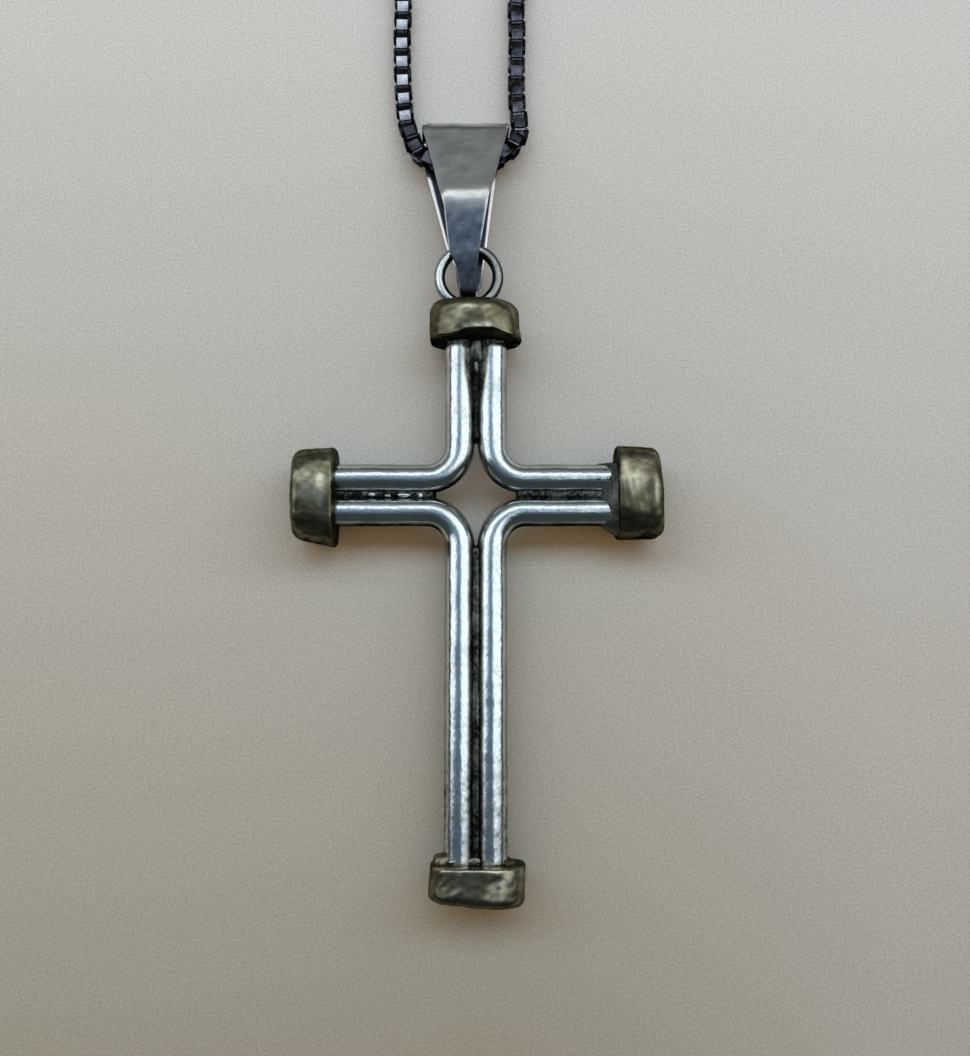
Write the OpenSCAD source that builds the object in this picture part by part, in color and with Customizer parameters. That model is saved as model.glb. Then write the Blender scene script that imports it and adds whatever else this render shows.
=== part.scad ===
// Cross pendant of bent silver wire with brass end caps, a folded bail and a fine box chain.
// It lies on its back on a surface at z = 0. The crossing is above the origin, +Y runs towards
// the bail and +Z faces up. Lengths are in millimetres.

/* [Wires of the cross] */
// Diameter of the round wire
wire_d = 1.93; // [1.6:0.01:2.1]
// Distance between the two wires of the upright, axis to axis
bar_pitch = 2.2; // [2.1:0.01:2.6]
// Distance between the two wires of the arms, axis to axis
arm_pitch = 2.2; // [2:0.01:2.5]
// How far the arms' middle lies below the crossing
arms_low = 0.08; // [0:0.01:0.15]
// Radius of the bend that each wire makes at the crossing, on its axis
bend_r = 2.19; // [1.8:0.01:2.8]
// Height of the solder that joins two wires, front to back
solder_h = 0.6; // [0.4:0.05:1.4]
// Where the solder of the upright starts, from the crossing
bar_seam_at = 3.42; // [3:0.01:5]
// Where the solder of the arms starts, from the crossing
arm_seam_at = 2.65; // [2.4:0.01:5]
// Size of the solder fillet below the right arm, at its cap
fillet_r = 0.9; // [0.4:0.05:1]
// Thickness of that fillet, front to back
fillet_h = 1.2; // [0.6:0.05:1.6]

/* [End caps] */
// Thickness of the caps, front to back
cap_depth = 4.6; // [4:0.05:5.5]
// From the crossing to the top cap
reach_top = 10.3; // [8:0.05:16]
// From the crossing to the bottom cap
reach_bottom = 24; // [18:0.05:32]
// From the crossing to the left cap
reach_left = 9.32; // [7:0.01:14]
// From the crossing to the right cap
reach_right = 9.32; // [7:0.01:14]
// Length of the top cap
cap_top_len = 2.75; // [2.4:0.05:4.5]
// Width of the top cap
cap_top_w = 6.2; // [5.6:0.05:7.5]
// Length of the bottom cap
cap_bottom_len = 2.5; // [2:0.05:4]
// Width of the bottom cap
cap_bottom_w = 6.4; // [5.6:0.05:7.5]
// Length of the left cap
cap_left_len = 2.82; // [2.4:0.01:4.5]
// Width of the left cap
cap_left_w = 6.75; // [5.8:0.05:7.5]
// Length of the right cap
cap_right_len = 2.95; // [2.4:0.05:4.5]
// Width of the right cap
cap_right_w = 6.4; // [5.6:0.05:7.5]
// Metal between the ends of the wires and a cap's outer face
end_wall = 1.2; // [0.8:0.05:1.5]
// Gap all round between a cap and what it holds
fit_gap = 0.05; // [0.03:0.01:0.1]
// Rounding of the caps' inner edges
inner_round = 0.32; // [0.1:0.01:0.6]
// Rounding of the top cap's outer edge
round_top = 0.9; // [0.3:0.05:1.2]
// Rounding of the bottom cap's outer edge
round_bottom = 0.65; // [0.3:0.05:1.2]
// Rounding of the left cap's outer edge
round_left = 0.5; // [0.3:0.05:1.2]
// Rounding of the right cap's outer edge
round_right = 0.6; // [0.3:0.05:1.2]

/* [Hanging ring] */
// Outer diameter of the ring
ring_od = 4.86; // [4.2:0.01:6]
// Diameter of the ring's wire
ring_wire_d = 0.74; // [0.6:0.01:0.9]
// How deep the ring is let into the top cap
ring_sunk = 0.6; // [0.35:0.05:1.1]
// Metal between the ring and the ends of the wires
ring_floor = 0.25; // [0.15:0.05:0.6]
// How far the ring sits left of the upright's middle
ring_left = 0.47; // [0:0.01:1]

/* [Bail] */
// Thickness of the folded sheet
sheet_t = 0.45; // [0.3:0.01:0.55]
// Length from the tongue's tip to the top fold
bail_len = 12.48; // [11:0.01:16]
// Width at the top fold
bail_w = 6.06; // [4.5:0.01:8]
// Height of the front crease above the surface
crease_h = 3.9; // [3.6:0.05:5]
// Height of the top fold above the surface
fold_h = 2.25; // [2:0.05:3]
// Gap between the ring's wire and the sheet in front of it
front_gap = 0.2; // [0.1:0.01:0.4]
// Gap between the ring's wire and the sheet behind it
back_gap = 0.38; // [0.1:0.01:0.45]
// Gap between the tongue's tip and the top cap
tip_gap = 0.57; // [0.05:0.01:0.8]
// From the ring's wire down to the bend where the front becomes the tongue
tongue_bend = 0.7; // [0.4:0.05:1]
// Gap between the chain and the back of the bail that it rests on
rest_gap = 0.17; // [0.05:0.01:0.3]

/* [Chain and clasp] */
// Width of the chain's loop, axis to axis
loop_w = 113.2; // [100:0.1:125]
// From the bail's top fold to the clasp
loop_len = 145.4; // [130:0.1:160]
// How far the loop's middle lies left of the upright's middle
loop_left = 1.2; // [0:0.1:2]
// Width of the chain's square links
chain_w = 1.2; // [0.9:0.01:1.3]
// Length of the barrel clasp
clasp_len = 8.4; // [8:0.1:10]
// Diameter of the barrel clasp
clasp_d = 2.6; // [2.2:0.1:3.5]
// Diameter of the clasp's end faces
clasp_end_d = 1.8; // [1.7:0.05:2.1]
// Length of the clasp's tapering ends
clasp_taper = 1.3; // [1:0.1:2]
// How deep each end of the chain sits in the clasp
chain_in = 0.9; // [0.5:0.1:1.5]

/* [Hidden] */

$fn = 48;
slack = 1;                      // how far a cutting shape runs past the face that it opens
lie_z = cap_depth / 2;          // height of the wires' axes: the cross lies on its caps
top_face_y = reach_top + cap_top_len;
ring_r = (ring_od - ring_wire_d) / 2;
ring_y = top_face_y - ring_sunk + ring_od / 2;

// Outline of each cap as shares of its width, seen from the front with its arm pointing up:
// [left edge, right edge] at the inner face, then [left edge, right edge] at the outer face.
top_edges = [-0.505, 0.495, -0.505, 0.445];
bottom_edges = [-0.505, 0.465, -0.49, 0.49];
left_edges = [-0.535, 0.465, -0.435, 0.43];
right_edges = [-0.51, 0.48, -0.465, 0.46];
bottom_slant = -0.07;           // share of a cap's length that its right side is longer by
right_slant = 0.03;

// Width of the bail's front and back: [share of its length from the tongue's tip, share of its
// width, how far its middle lies left of the ring's middle as a share of its width].
front_widths = [[0, 0.173, 0.005], [0.1, 0.21, 0.015], [0.165, 0.245, 0.023],
                [0.228, 0.335, 0.05], [0.466, 0.48, 0.033], [0.519, 0.525, 0.038],
                [0.97, 1, 0.038], [1, 1, 0.038]];
back_widths = [[0, 0.173, 0.005], [0.1, 0.21, 0.015], [0.165, 0.245, 0.02],
               [0.293, 0.46, 0.028], [0.386, 0.533, 0.041], [0.708, 0.789, 0.087],
               [0.784, 0.858, 0.092], [0.9, 0.95, 0.07], [0.97, 1, 0.045], [1, 1, 0.038]];

// The chain's way from the clasp down to the bail, alike on both sides: [distance from the loop's
// middle as a share of half its width, distance from the bail's top fold as a share of its length].
loop_side = [
  [0.226, 0.9917], [0.403, 0.9704], [0.571, 0.9326], [0.721, 0.8845], [0.845, 0.8226],
  [0.933, 0.7538], [0.986, 0.6781], [1.000, 0.6025], [0.977, 0.5234], [0.915, 0.4512],
  [0.818, 0.3790], [0.686, 0.3171], [0.535, 0.2655], [0.385, 0.2173], [0.253, 0.1726],
  [0.147, 0.1314], [0.088, 0.0970], [0.072, 0.0695], [0.072, 0.0488], [0.071, 0.0282]];
// Its way through the bail, left to right: [x from the ring's middle as a share of the bail's
// width, y from the top fold, share of the height at which it rests].
bail_run = [
  [-0.756, 2.1, 0], [-0.731, 0.7, 0.1], [-0.665, -0.5, 0.35], [-0.607, -1.6, 0.75],
  [-0.483, -2.35, 0.95], [-0.318, -2.8, 1], [-0.12, -3, 1], [0.078, -2.9, 1],
  [0.259, -2.55, 1], [0.415, -1.9, 0.9], [0.514, -1.15, 0.7], [0.582, -0.2, 0.35],
  [0.578, 0.9, 0.1], [0.556, 2.1, 0]];
rest_y = -3;                    // where the chain's lowest point rests in the bail
clasp_approach = 1.6;           // straight stretch of chain in front of each end of the clasp

// Folds of the bail: radii on the middle of the sheet, and places as shares of its length.
foot_r = 0.4;                   // both bends of the foot at the tongue's tip
back_r = 1.5;                   // shallow bend of the back
back_at = 0.295;
top_r = 0.85;                   // both bends of the top fold
crease_r = 0.4;
crease_at = 0.519;
tongue_r = 0.5;                 // shallow bend of the front above the tongue
tongue_drop = 0.4;              // share of the bail's inner depth by which the tongue dips

function unit(v) = v / norm(v);
// Value in column c of a table at x, read straight between its rows.
function read(table, c, x) = lookup(x, [for (row = table) [row[0], row[c]]]);
// Faces of a tube of rings with n points each; closed joins the last ring to the first.
function ring_faces(rings, n, closed) = [
  for (i = [0 : rings - (closed ? 1 : 2)], j = [0 : n - 1])
    let (a = i * n, b = (i + 1) % rings * n, k = (j + 1) % n)
      each [[a + j, b + j, b + k], [a + j, b + k, a + k]]];
function end_faces(rings, n) = [[for (j = [0 : n - 1]) j],
                                [for (j = [n - 1 : -1 : 0]) (rings - 1) * n + j]];

// Two joined wires of length len, side by side with solder between them, along +Y.
module wire_pair(pitch, len, gap) {
  for (side = [-1, 1]) translate([side * pitch / 2, 0, 0]) rotate([-90, 0, 0])
    cylinder(h = len, d = wire_d + 2 * gap);
  translate([-pitch / 2, 0, -solder_h / 2 - gap]) cube([pitch, len, solder_h + 2 * gap]);
}

// One wire: from its cap on the upright, round its bend and out to its cap on the arm.
module bent_wire(bar_end, arm_end, arm_y) {
  corner = [bar_pitch / 2 + bend_r, arm_y + bend_r, 0];
  translate([bar_pitch / 2, corner.y, 0]) rotate([-90, 0, 0])
    cylinder(h = bar_end - corner.y, d = wire_d);
  translate([corner.x, arm_y, 0]) rotate([0, 90, 0])
    cylinder(h = arm_end - corner.x, d = wire_d);
  translate(corner) rotate([0, 0, 180])
    rotate_extrude(angle = 90) translate([bend_r, 0]) circle(d = wire_d);
}

// Solder between two wires, from start to end along +Y.
module seam(pitch, start, end) {
  translate([-pitch / 2, start, -solder_h / 2]) cube([pitch, end - start, solder_h]);
}

// Hollowed fillet of solder in the corner between the right arm's lower wire and its cap.
module arm_fillet() {
  low = arms_low + arm_pitch / 2 + wire_d / 2;
  translate([reach_right - fit_gap - fillet_r, -low - fillet_r, -fillet_h / 2])
    difference() {
      cube([fillet_r, fillet_r + wire_d / 2, fillet_h]);
      translate([0, 0, -slack]) cylinder(h = fillet_h + 2 * slack, r = fillet_r);
    }
}

module cross_frame() {
  top_end = top_face_y - ring_sunk - ring_floor - 2 * fit_gap;
  bottom_end = reach_bottom + cap_bottom_len - end_wall - fit_gap;
  left_end = reach_left + cap_left_len - end_wall - fit_gap;
  right_end = reach_right + cap_right_len - end_wall - fit_gap;
  upper_y = arm_pitch / 2 - arms_low;
  lower_y = arm_pitch / 2 + arms_low;
  color("silver") translate([0, 0, lie_z]) {
    bent_wire(top_end, right_end, upper_y);
    mirror([1, 0, 0]) bent_wire(top_end, left_end, upper_y);
    mirror([0, 1, 0]) bent_wire(bottom_end, right_end, lower_y);
    mirror([1, 0, 0]) mirror([0, 1, 0]) bent_wire(bottom_end, left_end, lower_y);
    seam(bar_pitch, bar_seam_at, top_end);
    mirror([0, 1, 0]) seam(bar_pitch, bar_seam_at, bottom_end);
    translate([0, -arms_low, 0]) {
      rotate([0, 0, 90]) seam(arm_pitch, arm_seam_at, left_end);
      rotate([0, 0, -90]) seam(arm_pitch, arm_seam_at, right_end);
    }
    arm_fillet();
  }
}

// Rounded oval block of a cap along +Y. Its edges are as in the tables above, outer_round rounds
// its outer end, and slant shares out its length between its left and right side.
cap_sides = 32;
oval_power = 2.8;
back_cut = 0.1;                 // depth of the flat that the cap lies on
round_steps = 4;                // facets of each rounded edge
function oval(v) = sign(v) * pow(abs(v), 2 / oval_power);
module cap_block(len, w, edges, outer_round, slant) {
  turns = [for (i = [0 : round_steps]) 90 * i / round_steps];
  stations = concat(
    [for (a = turns) [inner_round * (1 - cos(a)), inner_round * (1 - sin(a))]],
    [for (a = turns) [len - outer_round * (1 - sin(a)), outer_round * (1 - cos(a))]]);
  rings = [for (s = stations)
    let (share = s[0] / len,
         left = w * (edges[0] + share * (edges[2] - edges[0])) + s[1],
         right = w * (edges[1] + share * (edges[3] - edges[1])) - s[1],
         up = cap_depth / 2 - s[1])
      [for (i = [0 : cap_sides - 1])
        let (a = 360 * i / cap_sides, x = oval(cos(a)), z = oval(sin(a)))
          [(left + right) / 2 + x * (right - left) / 2,
           s[0] * (1 + slant * x),
           z * (z > 0 ? up : up + back_cut)]]];
  polyhedron([for (r = rings) each r],
             concat(ring_faces(len(rings), cap_sides, false), end_faces(len(rings), cap_sides)));
}

// A cap with its back flat on the surface and a pocket for its pair of wires, aside of its middle.
module cap(len, w, edges, outer_round, slant, pitch, aside, wall) {
  color("darkgoldenrod") difference() {
    translate([0, 0, lie_z]) cap_block(len, w, edges, outer_round, slant);
    translate([-w, -w, -w]) cube([2 * w, 2 * w + len, w]);
    translate([aside, -slack, lie_z]) wire_pair(pitch, len - wall + slack, fit_gap);
  }
}

module cap_top() {
  difference() {
    translate([0, reach_top, 0])
      cap(cap_top_len, cap_top_w, top_edges, round_top, 0, bar_pitch, 0,
          ring_sunk + ring_floor + fit_gap);
    ring_solid(fit_gap);
  }
}

module cap_bottom() {
  translate([0, -reach_bottom, 0]) rotate([0, 0, 180])
    cap(cap_bottom_len, cap_bottom_w, bottom_edges, round_bottom, bottom_slant, bar_pitch, 0,
        end_wall);
}

module cap_left() {
  translate([-reach_left, 0, 0]) rotate([0, 0, 90])
    cap(cap_left_len, cap_left_w, left_edges, round_left, 0, arm_pitch, -arms_low, end_wall);
}

module cap_right() {
  translate([reach_right, 0, 0]) rotate([0, 0, -90])
    cap(cap_right_len, cap_right_w, right_edges, round_right, right_slant, arm_pitch, arms_low,
        end_wall);
}

module ring_solid(gap) {
  translate([-ring_left, ring_y, lie_z])
    rotate_extrude() translate([ring_r, 0]) circle(d = ring_wire_d + 2 * gap);
}

module hanging_ring() {
  color("silver") ring_solid(0);
}

// The bail is one strip folded into a closed loop. These corners are on the middle of the sheet,
// seen from the side: [y, z, radius of the fold].
half_t = sheet_t / 2;
tip_y = top_face_y + tip_gap;
fold_y = tip_y + bail_len - half_t;
ring_front = lie_z + ring_wire_d / 2 + front_gap + half_t;
ring_back = lie_z - ring_wire_d / 2 - back_gap - half_t;
back_y = tip_y + back_at * bail_len;
bail_corners = [
  [tip_y + half_t, ring_back, foot_r],
  [back_y, ring_back, back_r],
  [fold_y, half_t, top_r],
  [fold_y, fold_h - half_t, top_r],
  [tip_y + crease_at * bail_len, crease_h - half_t, crease_r],
  [ring_y + ring_r - ring_wire_d / 2 - tongue_bend, ring_front - front_gap, tongue_r],
  [tip_y + half_t, ring_front - tongue_drop * (ring_front - ring_back), foot_r]];
corner_count = len(bail_corners);
first_front_corner = 3;
arc_steps = 6;
line_steps = 4;

// Points of the arc that rounds corner c between its neighbours: [y, z, sheet normal's y and z].
function fold_arc(before, c, after) =
  let (at = [c[0], c[1]],
       u = unit([before[0], before[1]] - at), v = unit([after[0], after[1]] - at),
       half = acos(u * v) / 2,
       middle = at + unit(u + v) * c[2] / sin(half),
       from = at + u * c[2] / tan(half) - middle, to = at + v * c[2] / tan(half) - middle,
       start = atan2(from.y, from.x),
       turn = (atan2(to.y, to.x) - start + 540) % 360 - 180)
    [for (i = [0 : arc_steps])
      let (a = start + turn * i / arc_steps, out = [cos(a), sin(a)], p = middle + c[2] * out,
           n = -sign(turn) * out)
        [p.x, p.y, n.x, n.y]];
bail_arcs = [for (i = [0 : corner_count - 1])
  fold_arc(bail_corners[(i + corner_count - 1) % corner_count], bail_corners[i],
           bail_corners[(i + 1) % corner_count])];
// Every station of the strip: its side's table of widths, then [y, z, normal's y and z].
bail_stations = [for (i = [0 : corner_count - 1])
  let (widths = i < first_front_corner ? back_widths : front_widths,
       last = bail_arcs[i][arc_steps], next = bail_arcs[(i + 1) % corner_count][0])
    each concat([for (p = bail_arcs[i]) [widths, p]],
                [for (j = [1 : line_steps])
                  [widths, last + (next - last) * j / (line_steps + 1)]])];

module bail() {
  points = [for (s = bail_stations)
    let (p = s[1], along = (p[0] - tip_y) / bail_len,
         half_w = bail_w * read(s[0], 1, along) / 2,
         x = -ring_left - bail_w * read(s[0], 2, along))
      each [for (c = [[-1, 1], [1, 1], [1, -1], [-1, -1]])
        [x + c[0] * half_w, p[0] + c[1] * half_t * p[2], p[1] + c[1] * half_t * p[3]]]];
  color("lightsteelblue") polyhedron(points, ring_faces(len(bail_stations), 4, true));
}

// The chain as a plain eight-sided tube, flat side down, with both ends in the clasp.
chain_sides = 8;
chain_out_r = chain_w / 2 / cos(180 / chain_sides);
clasp_z = clasp_d / 2 - chain_w / 2;
// Height of the back's upper side where the chain rests, plus the gap: the chain's underside.
rest_z = 2 * half_t + (ring_back - half_t) * -rest_y / (fold_y - back_y) + rest_gap;
clasp_y = fold_y + loop_len;
function clasp_side(side, out) = [side * (clasp_len / 2 + out) - loop_left, clasp_y, clasp_z];
function loop_point(side, p) = [side * p.x * loop_w / 2 - loop_left, fold_y + p.y * loop_len, 0];
chain_path = concat(
  [clasp_side(-1, -chain_in), clasp_side(-1, clasp_approach)],
  [for (p = loop_side) loop_point(-1, p)],
  [for (p = bail_run) [p.x * bail_w - ring_left, fold_y + p.y, p.z * rest_z]],
  [for (i = [len(loop_side) - 1 : -1 : 0]) loop_point(1, loop_side[i])],
  [clasp_side(1, clasp_approach), clasp_side(1, -chain_in)]);

module chain() {
  last = len(chain_path) - 1;
  points = [for (i = [0 : last])
    let (way = unit(chain_path[min(i + 1, last)] - chain_path[max(i - 1, 0)]),
         side = unit(cross(way, [0, 0, 1])), up = cross(side, way))
      each [for (j = [0 : chain_sides - 1])
        let (a = 360 * (j + 0.5) / chain_sides)
          chain_path[i] + [0, 0, chain_w / 2] + chain_out_r * (cos(a) * side + sin(a) * up)]];
  color("dimgray") polyhedron(points, concat(ring_faces(last + 1, chain_sides, false),
                                            end_faces(last + 1, chain_sides)));
}

// Barrel clasp in one piece, turned, with a blind hole at each end for the chain.
module clasp() {
  hole_r = chain_out_r + fit_gap;
  hole = chain_in + fit_gap;
  color("dimgray") translate([-loop_left - clasp_len / 2, clasp_y, clasp_d / 2])
    rotate([0, 90, 0]) rotate_extrude() polygon([
      [0, hole], [hole_r, hole], [hole_r, 0], [clasp_end_d / 2, 0], [clasp_d / 2, clasp_taper],
      [clasp_d / 2, clasp_len - clasp_taper], [clasp_end_d / 2, clasp_len], [hole_r, clasp_len],
      [hole_r, clasp_len - hole], [0, clasp_len - hole]]);
}

cross_frame();
cap_top();
cap_bottom();
cap_left();
cap_right();
hanging_ring();
bail();
chain();
clasp();
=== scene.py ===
# Cross pendant of paired silver wires with hammered brass caps, on its box chain, lying on a
# pale surface. Sizes in the dictionaries are millimetres; meshes and lights get metres.
from math import pi, radians

import bpy
import numpy as np
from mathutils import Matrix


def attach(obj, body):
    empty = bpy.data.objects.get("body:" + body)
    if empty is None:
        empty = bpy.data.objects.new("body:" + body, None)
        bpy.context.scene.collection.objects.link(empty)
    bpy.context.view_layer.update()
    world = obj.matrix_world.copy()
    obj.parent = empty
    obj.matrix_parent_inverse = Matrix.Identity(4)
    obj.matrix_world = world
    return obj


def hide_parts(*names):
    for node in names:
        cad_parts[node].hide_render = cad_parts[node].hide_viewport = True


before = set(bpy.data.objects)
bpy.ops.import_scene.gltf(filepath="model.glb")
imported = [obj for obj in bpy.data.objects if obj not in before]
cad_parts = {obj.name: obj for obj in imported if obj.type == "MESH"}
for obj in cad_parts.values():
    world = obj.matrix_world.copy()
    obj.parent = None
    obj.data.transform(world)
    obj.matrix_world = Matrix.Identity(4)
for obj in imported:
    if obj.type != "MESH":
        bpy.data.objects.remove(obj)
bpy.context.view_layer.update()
mm = 0.001

# camera, lights and surface

camera = {"at": (0.6, -10.46, 80.3), "tiltDegrees": 6.0, "focalPixels": 1180, "longSidePixels": 1056,
          "sensor": 36, "clip": (5, 20000)}
lamps = {  # soft light on the surface: each lamp's reach in x and in y, and how bright it is
    "lampTop": {"x": (-1040, 1040), "y": (150, 365), "bright": 3.1},
    "lampLeft": {"x": (-1040, -140), "y": (-180, 108), "bright": 0.12},
    "lampRight": {"x": (70, 1040), "y": (-180, 108), "bright": 0.3},
}
lampColour = (0.72, 0.965, 1.16)
ceiling = {  # what the metal mirrors: a bright ceiling with a dim bluish band right above. Its rows are
    # y, where the band starts and how softly, where it ends, how bright it is, how bright all round is;
    # its colour turns from dim to bright with the light and far ahead with y
    "height": 380, "x": (-1040, 1040), "y": (-180, 720), "step": 12, "endSoft": 55,
    "rows": [
        (-180, -620, 120, 150, 0.05, 0.25), (-95, -500, 120, 125, 0.09, 0.7),
        (-62, -450, 130, 95, 0.13, 1.25), (-20, -260, 150, 45, 0.16, 1.25),
        (28, -200, 100, 50, 0.25, 1.25), (87, -155, 55, 55, 0.31, 1.25),
        (120, -155, 55, 55, 0.42, 1.25), (165, -155, 55, 55, 1.25, 1.25),
        (330, -155, 55, 55, 1.25, 1.25), (400, -155, 55, 55, 0.2, 0.2),
        (520, -155, 55, 55, 0.27, 0.27), (720, -155, 55, 55, 0.27, 0.27)],
    "dimColour": (0.78, 1.07, 1.38), "brightColour": (0.90, 0.98, 1.02),
    "turnsWithLight": (0.25, 1.0), "turnsWithY": (330, 400)}
surround = {"shade": (0.36, 0.2, 0.06), "behind": (0.038, 0.050, 0.048), "ahead": (0.11, 0.115, 0.12),
            "seen": (0.44, 0.43, 0.40), "lowAt": (0.6, 0.4), "aheadAt": (-0.15, 0.15)}
# near, nearLeft and nearRight are painted shade: the surface darker towards the bottom of the picture and on
# the left
surface = {"reach": 480, "near": (0.352, 0.342, 0.279), "nearLeft": (0.39, 0.384, 0.322),
           "nearRight": (0.472, 0.47, 0.444), "far": (0.732, 0.745, 0.743), "nearY": -45, "farY": 40,
           "sideX": 28, "paleY": (-60, -170), "speckle": 0.4, "speckleSize": 0.16, "inMetal": 0.85,
           "rough": 0.75, "shine": 0.25}
patterns = {"rough": 0.55, "cloudDetail": 5.0, "speckleDetail": 3.0, "grainDetail": 1.5,
            "usual": (0.3, 0.7)}  # noise patterns: between the usual values they show in full


def addObject(name, data):
    made = bpy.data.objects.new(name, data)
    bpy.context.scene.collection.objects.link(made)
    return made


def newMaterial(name):
    material = bpy.data.materials.new(name)
    material.use_nodes = True
    return material, material.node_tree


def makeCamera():
    data = bpy.data.cameras.new("camera")
    data.sensor_width = camera["sensor"]
    data.lens = camera["sensor"] * camera["focalPixels"] / camera["longSidePixels"]
    data.clip_start, data.clip_end = (reach * mm for reach in camera["clip"])
    made = addObject("camera", data)
    made.location = np.array(camera["at"]) * mm
    made.rotation_euler = (radians(camera["tiltDegrees"]), 0, 0)
    bpy.context.scene.camera = made


def gently(value, low, high):
    # 0 below low, 1 above high, 3t^2 - 2t^3 between
    t = np.clip((value - low) / (high - low), 0, 1)
    return t * t * (3 - 2 * t)


def powered(value, power):
    # value to a power, with its own sign
    return np.sign(value) * np.abs(value) ** power


def ramp(value, much, low, high):
    # 0 below low, much above high
    return much * gently(value, low, high)


def circle(count):
    # angles all the way round
    return np.linspace(0, 2 * pi, count, endpoint=False)


def unit(vectors):
    return vectors / np.linalg.norm(vectors, axis=-1, keepdims=True)


def store(mesh, name, values):
    # a number or a vector for every point of the mesh
    kind, key = ("FLOAT", "value") if values.ndim == 1 else ("FLOAT_VECTOR", "vector")
    mesh.attributes.new(name, kind, "POINT").data.foreach_set(key, values.astype(np.float32).ravel())


def makeLamp(name, x, y, bright):
    # power = pi * area * how bright the lamp is
    data = bpy.data.lights.new(name, "AREA")
    data.shape = "RECTANGLE"
    data.size, data.size_y = (x[1] - x[0]) * mm, (y[1] - y[0]) * mm
    data.energy = pi * data.size * data.size_y * bright
    data.color = lampColour
    made = addObject(name, data)
    made.location = np.array([sum(x) / 2, sum(y) / 2, ceiling["height"]]) * mm
    made.visible_camera = made.visible_glossy = False


def feed(tree, made, inputs):
    # each input of the node is a socket to link or a value to set
    for key, value in inputs.items():
        if isinstance(value, bpy.types.NodeSocket):
            tree.links.new(value, made.inputs[key])
        else:
            made.inputs[key].default_value = value


def node(tree, kind, inputs=None, **settings):
    made = tree.nodes.new("ShaderNode" + kind)
    for key, value in settings.items():
        setattr(made, key, value)
    feed(tree, made, inputs or {})
    return made


def product(tree, first, second):
    return node(tree, "Math", {0: first, 1: second}, operation="MULTIPLY").outputs[0]


def mixed(tree, share, first, second):
    # colour between two colours
    return node(tree, "Mix", {0: share, 6: first, 7: second}, data_type="RGBA").outputs[2]


def noise(tree, place, size, detail):
    # cloudy pattern whose blotches are about size wide, in the units of place
    return node(tree, "TexNoise", {"Vector": place, "Scale": 1 / size, "Detail": detail,
                                   "Roughness": patterns["rough"]}).outputs["Fac"]


def spread(tree, value, low, high, outLow=0.0, outHigh=1.0):
    # value from low..high carried over to outLow..outHigh
    return node(tree, "MapRange", {"Value": value, "From Min": low, "From Max": high, "To Min": outLow,
                                   "To Max": outHigh}).outputs[0]


def makeSurround():
    # a warm dim room that fills the shadows, a dark one in the reflections, a little lighter low down
    # ahead, and a pale one in the picture
    world = bpy.data.worlds.new("room")
    world.use_nodes = True
    tree = world.node_tree
    tree.nodes.clear()
    way = node(tree, "SeparateXYZ", {0: node(tree, "TexCoord").outputs["Generated"]}).outputs
    low = spread(tree, way["Z"], *surround["lowAt"])
    ahead = spread(tree, way["Y"], *surround["aheadAt"])
    mirrored = mixed(tree, product(tree, low, ahead), (*surround["behind"], 1), (*surround["ahead"], 1))
    path = node(tree, "LightPath").outputs
    unseen = mixed(tree, path["Is Glossy Ray"], (*surround["shade"], 1), mirrored)
    colour = mixed(tree, path["Is Camera Ray"], unseen, (*surround["seen"], 1))
    background = node(tree, "Background", {"Color": colour})
    node(tree, "OutputWorld", {"Surface": background.outputs[0]})
    world.cycles.sampling_method = "NONE"
    bpy.context.scene.world = world


def makeCeiling():
    # only the metal sees it; light = dim + (bright - dim) * the share outside the band
    x, y = (np.arange(*ceiling[side], ceiling["step"]) for side in ("x", "y"))
    rows = np.array(ceiling["rows"]).T
    start, soft, end, dim, bright = (np.interp(y, rows[0], row)[:, None] for row in rows[1:])
    outside = np.maximum(gently(start - x, -soft, soft),
                         gently(x - end, -ceiling["endSoft"], ceiling["endSoft"]))
    light = dim + (bright - dim) * outside
    share = np.maximum(gently(dim + outside, *ceiling["turnsWithLight"]),
                       gently(y, *ceiling["turnsWithY"])[:, None])
    points = np.stack([x + 0 * share, y[:, None] + 0 * share, 0 * share + ceiling["height"]], -1)
    corner = (np.arange(len(y) - 1)[:, None] * len(x) + np.arange(len(x) - 1)).ravel()
    quads = np.stack([corner, corner + len(x), corner + len(x) + 1, corner + 1], -1)
    mesh = bpy.data.meshes.new("ceiling")
    mesh.from_pydata((points.reshape(-1, 3) * mm).tolist(), [], quads.tolist())
    dimColour, brightColour = np.array(ceiling["dimColour"]), np.array(ceiling["brightColour"])
    colour = dimColour * (1 - share[..., None]) + brightColour * share[..., None]
    store(mesh, "light", colour * light[..., None])
    made = addObject("ceiling", mesh)
    made.visible_camera = made.visible_diffuse = made.visible_shadow = made.visible_transmission = False
    material, tree = newMaterial("softCeiling")
    material.cycles.emission_sampling = "NONE"
    tree.nodes.clear()
    glow = node(tree, "Emission", {"Color": node(tree, "Attribute", attribute_name="light").outputs[1]})
    node(tree, "OutputMaterial", {"Surface": glow.outputs[0]})
    mesh.materials.append(material)


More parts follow.
